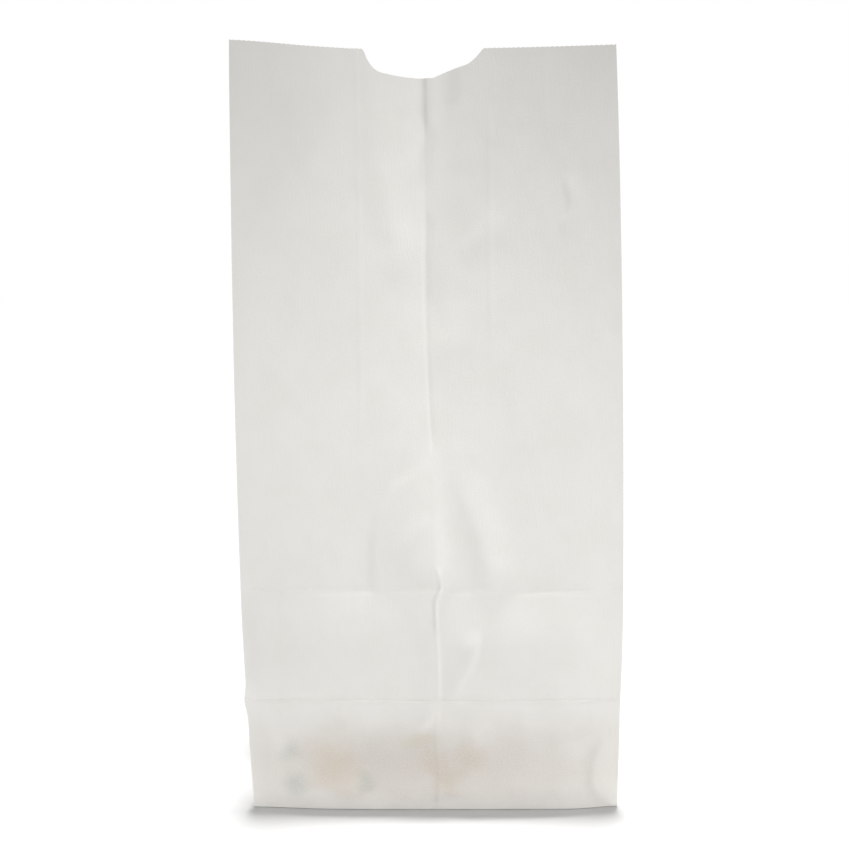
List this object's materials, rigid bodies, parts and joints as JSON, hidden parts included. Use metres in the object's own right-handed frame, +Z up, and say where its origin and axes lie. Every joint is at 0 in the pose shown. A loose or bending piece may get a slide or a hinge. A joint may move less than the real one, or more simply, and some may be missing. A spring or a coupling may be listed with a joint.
{
  "type": "paper grocery bag",
  "caption": "White paper grocery bag standing open, with a flat block bottom, tucked side gussets, a thumb notch and a finely toothed mouth.",
  "frame": {"origin": "centre of the flat bottom, on the surface the bag stands on", "axes": "+Z up towards the open mouth, -Y towards the notched front, +X to the right as seen from the front"},
  "size_m": [0.1707, 0.1245, 0.3368],
  "materials": {
    "white_paper": "matte"
  },
  "bodies": {
    "root": {"paper_bag": "white_paper"}
  },
  "joints": []
}
